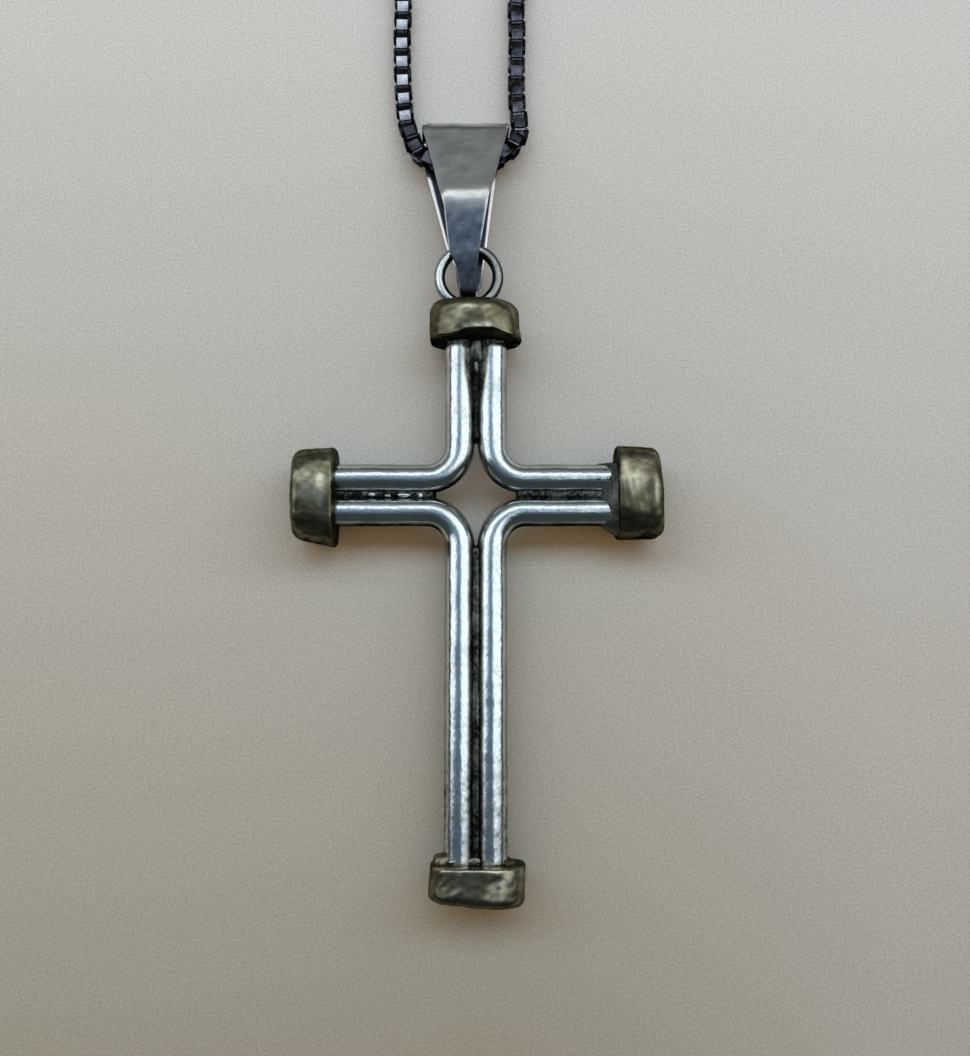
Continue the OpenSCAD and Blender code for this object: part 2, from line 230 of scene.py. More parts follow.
def makeSurface():
    # painted shade: the surface is darker towards the bottom of the picture, near in the middle, nearLeft
    # and nearRight aside with the left darker, far ahead and again far towards us; the speckle lies over it
    reach = surface["reach"] * mm
    mesh = bpy.data.meshes.new("surface")
    mesh.from_pydata([(-reach, -reach, 0), (reach, -reach, 0), (reach, reach, 0), (-reach, reach, 0)],
                     [], [(0, 1, 2, 3)])
    floor = addObject("surface", mesh)
    material, tree = newMaterial("paleSurface")
    place = node(tree, "TexCoord").outputs["Object"]
    at = node(tree, "SeparateXYZ", {0: place}).outputs
    sideX = surface["sideX"] * mm
    right = spread(tree, at["X"], -sideX, sideX)
    aside = spread(tree, node(tree, "Math", {0: at["X"]}, operation="ABSOLUTE").outputs[0], 0, sideX)
    ahead = spread(tree, at["Y"], surface["nearY"] * mm, surface["farY"] * mm)
    near = mixed(tree, right, (*surface["nearLeft"], 1), (*surface["nearRight"], 1))
    near = mixed(tree, aside, (*surface["near"], 1), near)
    colour = mixed(tree, ahead, near, (*surface["far"], 1))
    pale = spread(tree, at["Y"], *(y * mm for y in surface["paleY"]))
    colour = mixed(tree, pale, colour, (*surface["far"], 1))
    speckle = noise(tree, place, surface["speckleSize"] * mm, patterns["speckleDetail"])
    light = spread(tree, speckle, 0, 1, 1 - surface["speckle"], 1 + surface["speckle"])
    # painted shade in reflections: the metal sees the surface darker by inMetal
    mirrored = spread(tree, node(tree, "LightPath").outputs["Is Glossy Ray"], 0, 1, 1, surface["inMetal"])
    light = product(tree, light, mirrored)
    speckled = node(tree, "VectorMath", {0: colour, "Scale": light}, operation="SCALE").outputs[0]
    feed(tree, tree.nodes["Principled BSDF"], {
        "Base Color": speckled, "Roughness": surface["rough"], "Specular IOR Level": surface["shine"]})
    mesh.materials.append(material)


bpy.context.scene.view_settings.view_transform = "Standard"
makeCamera()
for name, lamp in lamps.items():
    makeLamp(name, **lamp)
makeSurround()
makeCeiling()
makeSurface()
print("camera, lights and surface are in place")

# metals

metals = {  # clean metal, its tarnish and its dark tone, which painted shade also reaches, roughness from clean to dark, size and amount of the clouds and the fine speckles of tarnish, size and depth of the grain
    # clouds and the fine speckles of skin, size and depth of the grain
    "silverWire": {"clean": (0.80, 0.85, 0.86), "tarnishAndShade": (0.30, 0.305, 0.28), "darkTone": (0.012, 0.014, 0.012),
                   "rough": (0.14, 0.42), "cloud": (1.6, 0.2), "speckle": (0.12, 0.26),
                   "grain": (0.15, 0.01)},
    "agedBrass": {"clean": (0.62, 0.57, 0.43), "tarnishAndShade": (0.16, 0.145, 0.09), "darkTone": (0.014, 0.016, 0.013),
                  "rough": (0.16, 0.42), "cloud": (1.4, 0.12), "speckle": (0.13, 0.12),
                  "grain": (0.25, 0.007)},
    "silverSheet": {"clean": (0.745, 0.71, 0.67), "tarnishAndShade": (0.17, 0.205, 0.265), "darkTone": (0.02, 0.022, 0.027),
                    "rough": (0.2, 0.45), "cloud": (0.9, 0.1), "speckle": (0.12, 0.1),
                    "grain": (0.13, 0.005)},
    "darkSilver": {"clean": (0.62, 0.64, 0.72), "tarnishAndShade": (0.15, 0.155, 0.19), "darkTone": (0.004, 0.004, 0.006),
                   "rough": (0.16, 0.4), "cloud": (0.8, 0.35), "speckle": (0.12, 0.3),
                   "grain": (0.2, 0.012)},
}
edgeLight = 0.7  # how far clean metal turns white where it is seen edge on
skinAt = 0.6  # share of the way from clean metal to the dark tone where the metal is all tarnish


def makeMetal(name):
    # share = the piece's own value of tarnish and painted shade, with clouds and fine speckles that add up
    # to half their amount or take it away. The colour goes from clean to tarnish to the dark tone with it,
    # and so does the roughness; clean metal also turns white where it is seen edge on, which the dark tone
    # doesn't
    look = metals[name]
    material, tree = newMaterial(name)
    place = node(tree, "TexCoord").outputs["Object"]
    lay = node(tree, "Attribute", attribute_name="lay").outputs["Vector"]
    share = node(tree, "Attribute", attribute_name="tarnishAndShade").outputs["Fac"]
    (cloudSize, cloud), (speckleSize, speckle), (grainSize, grain) = (
        look[pattern] for pattern in ("cloud", "speckle", "grain"))
    for pattern, amount in ((noise(tree, place, cloudSize * mm, patterns["cloudDetail"]), cloud),
                            (noise(tree, lay, speckleSize, patterns["speckleDetail"]), speckle)):
        part = spread(tree, pattern, *patterns["usual"], -amount / 2, amount / 2)
        share = node(tree, "Math", {0: share, 1: part}, operation="ADD", use_clamp=True).outputs[0]
    skinned = mixed(tree, spread(tree, share, 0, skinAt), (*look["clean"], 1), (*look["tarnishAndShade"], 1))
    colour = mixed(tree, spread(tree, share, skinAt, 1), skinned, (*look["darkTone"], 1))
    edge = spread(tree, share, 0, 1, edgeLight, 0)
    bump = node(tree, "Bump", {"Height": noise(tree, lay, grainSize, patterns["grainDetail"]),
                               "Distance": grain * mm, "Strength": 1.0})
    feed(tree, tree.nodes["Principled BSDF"], {
        "Base Color": colour, "Metallic": 1.0, "Normal": bump.outputs[0],
        "Specular Tint": mixed(tree, edge, colour, (1, 1, 1, 1)),
        "Roughness": spread(tree, share, 0, 1, *look["rough"])})
    return material


materials = {name: makeMetal(name) for name in metals}
print("metals are mixed")

# surfaces from grids

waveSizes = (0.7, 1.6)  # sizes of single waves, as shares of the size that is asked for


def gridSurface(points, loopRows=False):
    # points[row, column] closes round its columns; its rows close too, or both ends get a face.
    # Six times the enclosed volume = the sum over faces of a . (b x c); below zero, faces are turned.
    rows, columns = points.shape[:2]
    i, j = np.meshgrid(np.arange(rows if loopRows else rows - 1), np.arange(columns), indexing="ij")
    iNext, jNext = (i + 1) % rows, (j + 1) % columns
    quads = np.stack([i * columns + j, i * columns + jNext, iNext * columns + jNext,
                      iNext * columns + j], -1).reshape(-1, 4)
    flat = points.reshape(-1, 3)
    a, b, c, d = (flat[quads[:, k]] - flat.mean(0) for k in range(4))
    volume = (np.cross(a, b) * c).sum() + (np.cross(a, c) * d).sum()
    faces = quads.tolist()
    if not loopRows:
        ring = np.arange(columns)
        faces += [ring[::-1].tolist(), (ring + (rows - 1) * columns).tolist()]
    return flat, [face[::-1] for face in faces] if volume < 0 else faces


def makePiece(name, parts, metal, nodes, crease=60):
    # one object from several closed surfaces, each with its tarnish and painted shade and its lay at every
    # point
    spots, faces, skins, lays = [], [], [], []
    for flat, partFaces, tarnishAndShade, *lay in parts:
        first = sum(len(s) for s in spots)
        spots.append(flat)
        faces += [[first + k for k in face] for face in partFaces]
        skins.append(np.broadcast_to(tarnishAndShade, len(flat)))
        lays.append(lay[0] if lay else flat)
    mesh = bpy.data.meshes.new(name)
    mesh.from_pydata((np.concatenate(spots) * mm).tolist(), [], faces)
    mesh.polygons.foreach_set("use_smooth", np.ones(len(faces), bool))
    store(mesh, "tarnishAndShade", np.clip(np.concatenate(skins), 0, 1))
    store(mesh, "lay", np.concatenate(lays))
    mesh.set_sharp_from_angle(angle=radians(crease))
    mesh.materials.append(materials[metal])
    piece = addObject(name, mesh)
    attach(piece, "root")
    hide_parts(*nodes)
    print(name, "has", sum(len(f) - 2 for f in faces), "triangles")


def waves(points, size, seed, count=14):
    # sum of count cosines along random directions, each about size long, scaled to a spread of one
    random = np.random.default_rng(seed)
    ways = random.normal(size=(count, 3))
    ways *= 2 * pi / (np.linalg.norm(ways, axis=1) * size * random.uniform(*waveSizes, count))[:, None]
    phase = random.uniform(0, 2 * pi, count)
    return np.cos(points @ ways.T + phase).sum(-1) / np.sqrt(count / 2)


def twoWaves(points, seed, size, fine, fineSize):
    return waves(points, size, seed) + fine * waves(points, fineSize, seed + 1)


def gridNormals(points, middle):
    # cross product of the steps along rows and columns, turned away from the middle
    alongColumns = np.roll(points, -1, 1) - np.roll(points, 1, 1)
    normal = np.cross(np.gradient(points, axis=0), alongColumns)
    normal /= np.linalg.norm(normal, axis=-1, keepdims=True) + 1e-9  # where the steps vanish
    turned = (normal * (points - middle)).sum(-1, keepdims=True) < 0
    return np.where(turned, -normal, normal)


# the cross: four bent wires and the solder between them

cross = {"wire": 1.93, "barPitch": 2.2, "armUp": 1.02, "armDown": 1.18, "bend": 2.19, "depth": 4.6,
         "reachTop": 10.3, "reachBottom": 24.0, "reachLeft": 9.32, "reachRight": 9.32,
         "barSeamAt": 3.42, "armSeamAt": 2.65, "into": 1.2, "bulge": (0.1, 2.4, 4.4),
         "uneven": 0.008, "waves": (3.0, 0.3, 0.9), "step": 0.09, "sides": 48,
         "layAlong": 0.45, "layApart": 5, "seed": 11}
wireTarnishAndShade = {  # darker beside the seams; painted shade on the flanks, most on the arms' side facing -Y, and where the wires run in under the top cap; dull patches towards the bottom one; places along a bar are in y outwards, places round a wire in shares of its radius
    # places along a bar are in y outwards, places round a wire in shares of its radius
    "seamAt": (0.85, 1.0), "onBar": (0.25, 0.15), "onBarAt": (2.4, 3.4), "seamSoft": 0.4,
    "nearTop": (0.5, 5, 10), "onLowerBar": 0.1, "seam": 0.5, "barSeam": 0.38,
    "sides": 0.36, "sidesAt": (-0.8, -0.4), "armLow": (0.62, 0.3, 0.8), "topCap": (0.9, 9.75, 10.0),
    "dull": 0.06, "patches": 0.2, "patchSize": 0.5, "dullAt": (14, 22), "clouds": 0.04, "cloudSize": 2.5}
solder = {"halfWidth": 0.42, "power": 0.6, "uneven": 0.03, "waves": (1.4, 0.2, 0.6), "pointed": 0.25,
          "blunt": 0.02, "clouds": 0.03, "cloudSize": 1.2, "lay": 0.5, "step": 0.1, "sides": 14,
          "seed": 21, "seedStep": 4}
seams = [  # solder between two wires: its way, where it starts and ends, half its height, its skin
    ((0, 1, 0), "barSeamAt", "reachTop", 0.42, 1.04), ((0, -1, 0), "barSeamAt", "reachBottom", 0.5, 0.9),
    ((-1, 0, 0), "armSeamAt", "reachLeft", 0.48, 1.0), ((1, 0, 0), "armSeamAt", "reachRight", 0.6, 0.93)]
ball = {"columns": 16, "rows": 9, "turn": 1.5, "uneven": 0.12, "unevenSize": 1.2, "halfZ": 0.2, "seed": 51}
beads = [  # beads of solder: x, y, half sizes in x and y, their top above the wires' middle, skin
    (-6.91, -0.08, 0.30, 0.15, 0.62, 0.1), (-5.82, -0.12, 0.22, 0.14, 0.6, 0.2),
    (-4.76, -0.1, 0.54, 0.16, 0.64, 0.1), (-3.67, -0.12, 0.17, 0.18, 0.62, 0.1),
    (-0.05, -7.3, 0.16, 0.3, 0.54, 0.7), (-0.04, -11.6, 0.14, 0.4, 0.54, 0.75),
    (0.0, 9.75, 0.5, 1.0, 0.82, 0.84), (0.0, 8.6, 0.2, 0.7, 0.6, 0.8),
    (-1.5, 10.2, 0.42, 0.22, 0.98, 0.8), (1.5, 10.2, 0.4, 0.2, 0.97, 0.8),
    (-1.25, -23.85, 0.55, 0.3, 0.95, 0.4), (-0.2, -23.8, 0.5, 0.34, 0.85, 0.7),
    (1.1, -23.9, 0.5, 0.2, 0.96, 0.5), (8.1, 0.88, 0.26, 0.1, 0.99, 1), (8.72, 0.95, 0.24, 0.2, 1.05, 0)]
collar = {  # solder that climbs the right cap: it starts at x and grows with the way along it to a power
    "x": 8.1, "length": 1.4, "halfWidth": 2.05, "flareLow": 0.85, "flareHigh": 0.1, "depth": (0.3, 1.6),
    "growth": 0.9, "powers": (0.75, 0.8), "rows": 22, "sides": 56, "uneven": 0.02, "unevenSize": 1.1,
    "tarnishAndShade": 0.84, "clouds": 0.04, "cloudSize": 0.9, "seed": 41}
lieHeight = cross["depth"] / 2


def wireWear(x, y, angle, around, points, sideY, seed):
    # tarnish and painted shade round a wire; x and y are the way of its middle, around points out of it
    look, soft = wireTarnishAndShade, wireTarnishAndShade["seamSoft"]
    atSeam = np.maximum(gently(y, cross["barSeamAt"] - soft, cross["barSeamAt"] + soft),
                        gently(x, cross["armSeamAt"] - soft, cross["armSeamAt"] + soft))
    # the darkening beside the seam is wider on the bars, most of all close to the top cap
    widens = (ramp(y, *look["nearTop"]) * (sideY > 0))[:, None]
    onBar = gently(y, *look["onBarAt"])[:, None]
    lower = look["onLowerBar"] * onBar * (sideY < 0)
    startsAt, fullAt = (edge - wider * onBar - widens - lower
                        for edge, wider in zip(look["seamAt"], look["onBar"]))
    seamSide = gently(-np.cos(angle)[None], startsAt, fullAt)
    seamSide = seamSide * (look["seam"] + look["barSeam"] * atSeam[:, None] * onBar)
    # painted shade: flanks and underside darker, more on the arms' side facing -Y, for the shaded floor they
    # mirror
    armLow = ramp(-around[..., 1] * sideY, *look["armLow"])
    sides = gently(-np.sin(angle), *look["sidesAt"])[None] * (look["sides"] + armLow)
    patches = np.maximum(waves(points, look["patchSize"], seed + 3), 0)
    dullAndCapShade = gently(-points[..., 1] * sideY, *look["dullAt"])
    dullAndCapShade = dullAndCapShade * (look["dull"] + look["patches"] * patches)
    # painted shade: the wires darker where they run in under the top cap
    dullAndCapShade = dullAndCapShade + ramp(points[..., 1] * sideY, *look["topCap"])
    clouds = look["clouds"] * waves(points, look["cloudSize"], seed + 2)
    return np.maximum(seamSide, sides) + clouds + dullAndCapShade


def bentWire(sideX, sideY, barEnd, armEnd, seed, armY):
    # a circle of the wire's radius, carried down the bar, round a quarter bend and out along the arm
    radius, bend = cross["wire"] / 2, cross["bend"]
    barX = cross["barPitch"] / 2
    downLength, outLength, arcLength = barEnd - armY - bend, armEnd - barX - bend, bend * pi / 2
    length = downLength + arcLength + outLength
    s = np.linspace(0, length, int(length / cross["step"]))
    turn = np.clip((s - downLength) / bend, 0, pi / 2)
    x = barX + bend * (1 - np.cos(turn)) + np.clip(s - downLength - arcLength, 0, None)
    y = barEnd - np.clip(s, 0, downLength) - bend * np.sin(turn)
    path = np.stack([x, y, 0 * s + lieHeight], -1)
    inward = np.stack([np.cos(turn), np.sin(turn), 0 * s], -1)  # towards the middle of the bend
    angle = circle(cross["sides"])
    around = (np.cos(angle)[:, None] * inward[:, None] + np.sin(angle)[:, None] * np.array([0, 0, 1]))
    rough = 1 + cross["uneven"] * twoWaves(path[:, None] + around * radius, seed, *cross["waves"])
    # along the bars the section bulges towards the seam with ((1 - cos(angle)) / 2)^2
    rough += ramp(y, *cross["bulge"])[:, None] * ((1 - np.cos(angle)) / 2) ** 2
    points = path[:, None] + around * (radius * rough)[..., None]
    tarnishAndShade = wireWear(x, y, angle, around, points, sideY, seed)
    lay = np.stack([cross["layAlong"] * s[:, None] + 0 * angle, radius * np.cos(angle) + 0 * s[:, None],
                    radius * np.sin(angle) + cross["layApart"] * seed + 0 * s[:, None]], -1)
    points *= np.array([sideX, sideY, 1])
    return *gridSurface(points), tarnishAndShade.reshape(-1), lay.reshape(-1, 3)


def seamSurface(way, startsAt, endsAt, half, tarnishAndShade, seed):
    # an oval with flattened sides, carried outwards between two wires: its half height swells along it
    way, start, end = np.array(way), cross[startsAt], cross[endsAt] + cross["into"]
    across = np.abs(way[[1, 0, 2]])
    aside = (cross["armUp"] - cross["armDown"]) / 2 * across[1]
    length = np.linspace(start, end, int((end - start) / solder["step"]))
    angle = circle(solder["sides"])
    path = length[:, None] * way + np.array([0, aside, lieHeight])
    high = half + solder["uneven"] * twoWaves(path, seed, *solder["waves"])
    ends = np.sqrt(np.clip((length - start) / solder["pointed"], solder["blunt"], 1))
    sideways = solder["halfWidth"] * powered(np.cos(angle), solder["power"])
    points = (path[:, None] + sideways[None, :, None] * across
              + (high * ends)[:, None, None] * np.sin(angle)[None, :, None] * np.array([0, 0, 1]))
    tarnishAndShade = tarnishAndShade + solder["clouds"] * waves(points, solder["cloudSize"], seed + 2)
    return *gridSurface(points), tarnishAndShade.reshape(-1), solder["lay"] * points.reshape(-1, 3)


def bead(x, y, halfX, halfY, top, tarnishAndShade, seed, halfZ=ball["halfZ"]):
    # a squashed ball: (cos u cos v, sin u cos v, sin v) times its half sizes, made uneven
    u = circle(ball["columns"])
    v = np.linspace(-ball["turn"], ball["turn"], ball["rows"])
    points = np.stack([np.cos(v)[:, None] * np.cos(u), np.cos(v)[:, None] * np.sin(u),
                       np.sin(v)[:, None] + 0 * u], -1)
    points *= (1 + ball["uneven"] * waves(points, ball["unevenSize"], seed))[..., None]
    points = points * np.array([halfX, halfY, halfZ]) + np.array([x, y, lieHeight + top - halfZ])
    return *gridSurface(points), tarnishAndShade


def collarSurface():
    # an oval across the arm, whose low and high edges and depth grow along it
    t = np.linspace(0, 1, collar["rows"])
    grow = t ** collar["growth"]
    angle = circle(collar["sides"])
    low = -collar["halfWidth"] - collar["flareLow"] * grow
    high = collar["halfWidth"] + collar["flareHigh"] * grow
    ovalY, ovalZ = (powered(v, power) for v, power in zip((np.cos(angle), np.sin(angle)), collar["powers"]))
    y = (low + high)[:, None] / 2 + (high - low)[:, None] / 2 * ovalY
    shallow, deep = collar["depth"]
    z = lieHeight + (shallow + (deep - shallow) * grow)[:, None] * ovalZ
    points = np.stack([(collar["x"] + t * collar["length"])[:, None] + 0 * y, y, z], -1)
    points[..., 2] += collar["uneven"] * waves(points, collar["unevenSize"], collar["seed"])
    tarnishAndShade = collar["tarnishAndShade"] + collar["clouds"] * waves(points, collar["cloudSize"], collar["seed"] + 1)
    return *gridSurface(points), tarnishAndShade.reshape(-1)


def makeCross():
    into, parts = cross["into"], []
    for sideY, barReach, armY in ((1, "reachTop", "armUp"), (-1, "reachBottom", "armDown")):
        for sideX, armReach in ((1, "reachRight"), (-1, "reachLeft")):
            parts.append(bentWire(sideX, sideY, cross[barReach] + into, cross[armReach] + into,
                                  cross["seed"] + len(parts), cross[armY]))
    parts += [seamSurface(*row, solder["seed"] + solder["seedStep"] * k) for k, row in enumerate(seams)]
    parts += [bead(*row, ball["seed"] + k) for k, row in enumerate(beads)]
    parts.append(collarSurface())
    makePiece("crossWires", parts, "silverWire", ["cross_frame"])


makeCross()

# the four caps

caps = {  # each edge is a share of the width: left and right at the inner face, then at the outer face.
    # slant makes one side of the outer face reach further, arch moves the inner face's top outwards;
    # skin is the cap's own tarnish, followed by the painted shade on top of it on the inner face and on the
    # side facing -Y
    "capTop": {"node": "cap_top", "reach": 10.3, "length": 2.75, "width": 6.2,
               "edges": (-0.505, 0.495, -0.505, 0.445), "round": 0.9, "slant": 0, "turns": 0, "seed": 51,
               "arch": 0.4, "tarnishAndShade": (0.6, 0.15, 0.2)},
    "capBottom": {"node": "cap_bottom", "reach": 24.0, "length": 2.5, "width": 6.4,
                  "edges": (-0.505, 0.465, -0.49, 0.49), "round": 0.65, "slant": -0.07, "turns": 2,
                  "seed": 52, "arch": 0, "tarnishAndShade": (0.52, 0.05, 0.15)},
    "capLeft": {"node": "cap_left", "reach": 9.32, "length": 2.82, "width": 6.75,
                "edges": (-0.535, 0.465, -0.435, 0.43), "round": 0.5, "slant": 0, "turns": 1, "seed": 53,
                "arch": 0, "tarnishAndShade": (0.64, 0.0, 0.12)},
    "capRight": {"node": "cap_right", "reach": 9.32, "length": 2.95, "width": 6.4,
                 "edges": (-0.51, 0.48, -0.465, 0.46), "round": 0.6, "slant": 0.03, "turns": 3, "seed": 54,
                 "arch": 0, "tarnishAndShade": (0.66, 0.05, 0.12)},
}
rubbedAndHighlit = {  # bright patches of each cap, rubbed clean where its highlights show, so partly painted highlight: x, y, half width, half height, how strongly tarnish is taken off
    "capTop": [(-0.5, 12.25, 0.5, 0.28, 0.35), (0.45, 12.3, 0.4, 0.25, 0.3), (-0.4, 10.95, 0.4, 0.16, 0.4),
               (0.5, 10.95, 0.5, 0.16, 0.4), (1.7, 10.6, 0.5, 0.15, 0.25)],
    "capBottom": [(-2.2, -24.1, 0.7, 0.16, 0.4), (-0.6, -24.1, 0.8, 0.14, 0.35),
                  (1.0, -24.1, 0.7, 0.14, 0.4), (1.6, -24.9, 0.5, 0.7, 0.28)],
    "capLeft": [(-10.15, 0.7, 0.3, 0.6, 0.5), (-10.1, -0.6, 0.28, 0.45, 0.4), (-11.0, 0.4, 0.5, 0.8, 0.2),
                (-9.6, 2.2, 0.2, 0.5, 0.25)],
    "capRight": [(10.35, 0.7, 0.75, 0.6, 0.45), (11.7, -0.1, 0.14, 0.9, 0.35), (9.75, 1.9, 0.2, 0.8, 0.25),
                 (10.5, 2.2, 0.9, 0.3, 0.15)],
}
lips = {  # brass drawn up along the wires: beads as above, with a seed and a half height
    "capBottom": [(-2.12, -24.05, 0.78, 0.9, 1.0, 0.5, 91, 1.1), (0.05, -24.0, 0.3, 0.5, 0.6, 0.6, 92, 0.6),
                  (2.1, -24.1, 0.45, 0.4, 0.8, 0.55, 93, 1.0)],
}
capWork = {  # what all four share: form and hammer marks, which leave the lowest part smooth
    "power": 2.8, "innerRound": 0.2, "backCut": 0.1, "sides": 168, "roundRows": 9, "sideRows": 22,
    "faceShares": (0.04, 0.2, 0.4, 0.6, 0.78, 0.9, 0.96), "archAt": 0.4, "archWide": 1.5,
    "archHigh": (0.45, 0.95), "archDeep": 0.9, "dents": 16, "dentSize": (0.35, 1.0), "dentDepth": 0.038,
    "uneven": 0.018, "unevenSize": 1.6, "fine": 0.006, "fineSize": 0.5, "smoothBelow": (-2.0, -1.2),
    "seedStep": 100}
capTarnishAndLight = {  # where each face with painted shade begins, how much painted shade the underside (back) adds, how much the marks and the bright patches, partly painted highlight, change
    "innerAt": (-0.2, -0.05), "back": (0.2, -0.3, 0.3), "lowAt": (0.72, 0.95),
    "rubbedAndHighlit": 1.4, "rubbedAt": (3.4, 4.0), "dents": 0.05, "clouds": 0.05, "cloudSize": 1.2,
    "spots": 0.04, "spotSize": 0.4}


def capWear(name, cap, points, along, normal, dents):
    # tarnish and painted shade of a cap, with painted shade on its inner face, underside and side facing -Y:
    # the bright patches only reach its top
    own, innerMore, lowMore = cap["tarnishAndShade"]
    outwards = points - points.mean((0, 1))
    # painted shade: darker on the inner face, the underside and the side facing -Y
    lowSide = gently(-outwards[..., 1] / np.abs(outwards[..., 1]).max(), *capTarnishAndLight["lowAt"])
    tarnishAndShade = own + innerMore * gently(-along, *capTarnishAndLight["innerAt"])[:, None]
    tarnishAndShade = tarnishAndShade + ramp(-normal[..., 2], *capTarnishAndLight["back"]) + lowMore * lowSide
    onTop = gently(points[..., 2], *capTarnishAndLight["rubbedAt"])
    # partly painted highlight: tarnish taken off where the cap's highlights show
    for x, y, wide, high, strength in rubbedAndHighlit[name]:
        far = ((points[..., 0] - x) / wide) ** 2 + ((points[..., 1] - y) / high) ** 2
        tarnishAndShade = tarnishAndShade - capTarnishAndLight["rubbedAndHighlit"] * strength * np.exp(-far) * onTop
    seed, step = cap["seed"], capWork["seedStep"]
    clouds = capTarnishAndLight["clouds"] * waves(points, capTarnishAndLight["cloudSize"], seed + 3 * step)
    tarnishAndShade = tarnishAndShade - capTarnishAndLight["dents"] * dents + clouds
    return tarnishAndShade + capTarnishAndLight["spots"] * waves(points, capTarnishAndLight["spotSize"], seed + 4 * step)


def capSurface(name, cap):
    # around: (cos a)^(2/power) and (sin a)^(2/power); along: out over the inner face, round its edge,
    # along the side, round the outer edge and in over the outer face
    quarter = np.linspace(0, pi / 2, capWork["roundRows"])
    inner, outer, length = capWork["innerRound"], cap["round"], cap["length"]
    fill = np.array(capWork["faceShares"])
    side = np.linspace(inner, length - outer, capWork["sideRows"])[1:-1]
    along = np.concatenate([0 * fill, inner * (1 - np.cos(quarter)), side,
                            length - outer * (1 - np.sin(quarter)), 0 * fill + length])
    inset = np.concatenate([0 * fill + inner, inner * (1 - np.sin(quarter)), 0 * side,
                            outer * (1 - np.cos(quarter)), 0 * fill + outer])
    shrink = np.concatenate([fill, 0 * quarter + 1, 0 * side + 1, 0 * quarter + 1, fill[::-1]])
    angle = circle(capWork["sides"])
    ovalX, ovalZ = (powered(v, 2 / capWork["power"]) for v in (np.cos(angle), np.sin(angle)))
    e, share = cap["edges"], along / length
    left = cap["width"] * (e[0] + share * (e[2] - e[0])) + inset
    right = cap["width"] * (e[1] + share * (e[3] - e[1])) - inset
    up = (lieHeight - inset)[:, None]
    x = (left + right)[:, None] / 2 + (shrink * (right - left) / 2)[:, None] * ovalX
    y = along[:, None] * (1 + cap["slant"] * ovalX * shrink[:, None])
    # the inner face moves out by arch * exp(-((x - archAt) / archWide)^4), the more the higher up
    raised = gently(shrink[:, None] * ovalZ, *capWork["archHigh"])
    raised = raised * gently(-along, -capWork["archDeep"], 0)[:, None]
    y = y + cap["arch"] * np.exp(-((x - capWork["archAt"]) / capWork["archWide"]) ** 4) * raised
    z = shrink[:, None] * ovalZ * np.where(ovalZ > 0, up, up + capWork["backCut"])
    points = np.stack([x, y, z], -1)
    normal = gridNormals(points, np.array([0, length / 2, 0]))
    # hammer marks: each lowers the metal by dentDepth * exp(-(distance / size)^4)
    random = np.random.default_rng(cap["seed"])
    pick = random.integers(0, points.shape[0] * points.shape[1], 3 * capWork["dents"])
    centres = points.reshape(-1, 3)[pick]
    centres = centres[centres[:, 2] > 0][:capWork["dents"]]
    sizes = random.uniform(*capWork["dentSize"], len(centres))
    distance = np.linalg.norm(points[:, :, None] - centres, axis=-1)
    dents = np.exp(-(distance / sizes) ** 4).sum(-1)
    seed, step = cap["seed"], capWork["seedStep"]
    lift = capWork["uneven"] * waves(points, capWork["unevenSize"], seed + step)
    lift = lift - capWork["dentDepth"] * dents
    lift = lift + capWork["fine"] * waves(points, capWork["fineSize"], seed + 2 * step)
    points += normal * (lift * gently(points[..., 2], *capWork["smoothBelow"]))[..., None]
    points[..., 2] = np.maximum(points[..., 2] + lieHeight, 0)
    points[..., 1] += cap["reach"]
    for _ in range(cap["turns"]):  # a quarter turn to the left: (x, y) becomes (-y, x)
        points = np.stack([-points[..., 1], points[..., 0], points[..., 2]], -1)
    return *gridSurface(points), capWear(name, cap, points, along, normal, dents).reshape(-1)


for name, cap in caps.items():
    parts = [capSurface(name, cap)] + [bead(*row) for row in lips.get(name, [])]
    makePiece(name, parts, "agedBrass", [cap["node"]])

# the ring

ring = {"outer": 4.7, "wire": 0.74, "left": 0.51, "sunk": 0.52, "uneven": 0.014, "unevenSize": 1.5,
        "seed": 61, "along": 128, "around": 28, "tarnishAndShade": 0.1}
# painted shade on the wire's inner side, its underside, its outer side and the ring's right half: how much,
# and from where to where it grows
ringShade = [(0.9, 0.2, 0.6), (0.5, -0.2, 0.6), (0.45, 0.55, 0.9), (0.4, -0.2, 0.6)]
topFace = caps["capTop"]["reach"] + caps["capTop"]["length"]
ringY = topFace - ring["sunk"] + ring["outer"] / 2
ringRadius = (ring["outer"] - ring["wire"]) / 2


def ringSurface():
    # ((R + r cos v) cos u, (R + r cos v) sin u, r sin v)
    u = circle(ring["along"])[:, None]
    v = circle(ring["around"])[None]
    r = ring["wire"] / 2
    points = np.stack([(ringRadius + r * np.cos(v)) * np.cos(u), (ringRadius + r * np.cos(v)) * np.sin(u),
                       r * np.sin(v) + 0 * u], -1)
    normal = points - ringRadius * np.stack([np.cos(u), np.sin(u), 0 * u], -1)
    points += normal * (ring["uneven"] * waves(points, ring["unevenSize"], ring["seed"]))[..., None]
    tarnishAndShade = ring["tarnishAndShade"]
    # painted shade on the inner side, the underside, the outer side and the right half
    for value, darkTone in zip((-np.cos(v), -np.sin(v), np.cos(v), np.cos(u)), ringShade):
        tarnishAndShade = tarnishAndShade + ramp(value, *darkTone)
    points += np.array([-ring["left"], ringY, lieHeight])
    return *gridSurface(points, loopRows=True), tarnishAndShade.reshape(-1)


makePiece("hangingRing", [ringSurface()], "silverWire", ["hanging_ring"])

# the bail: one strip folded into a loop

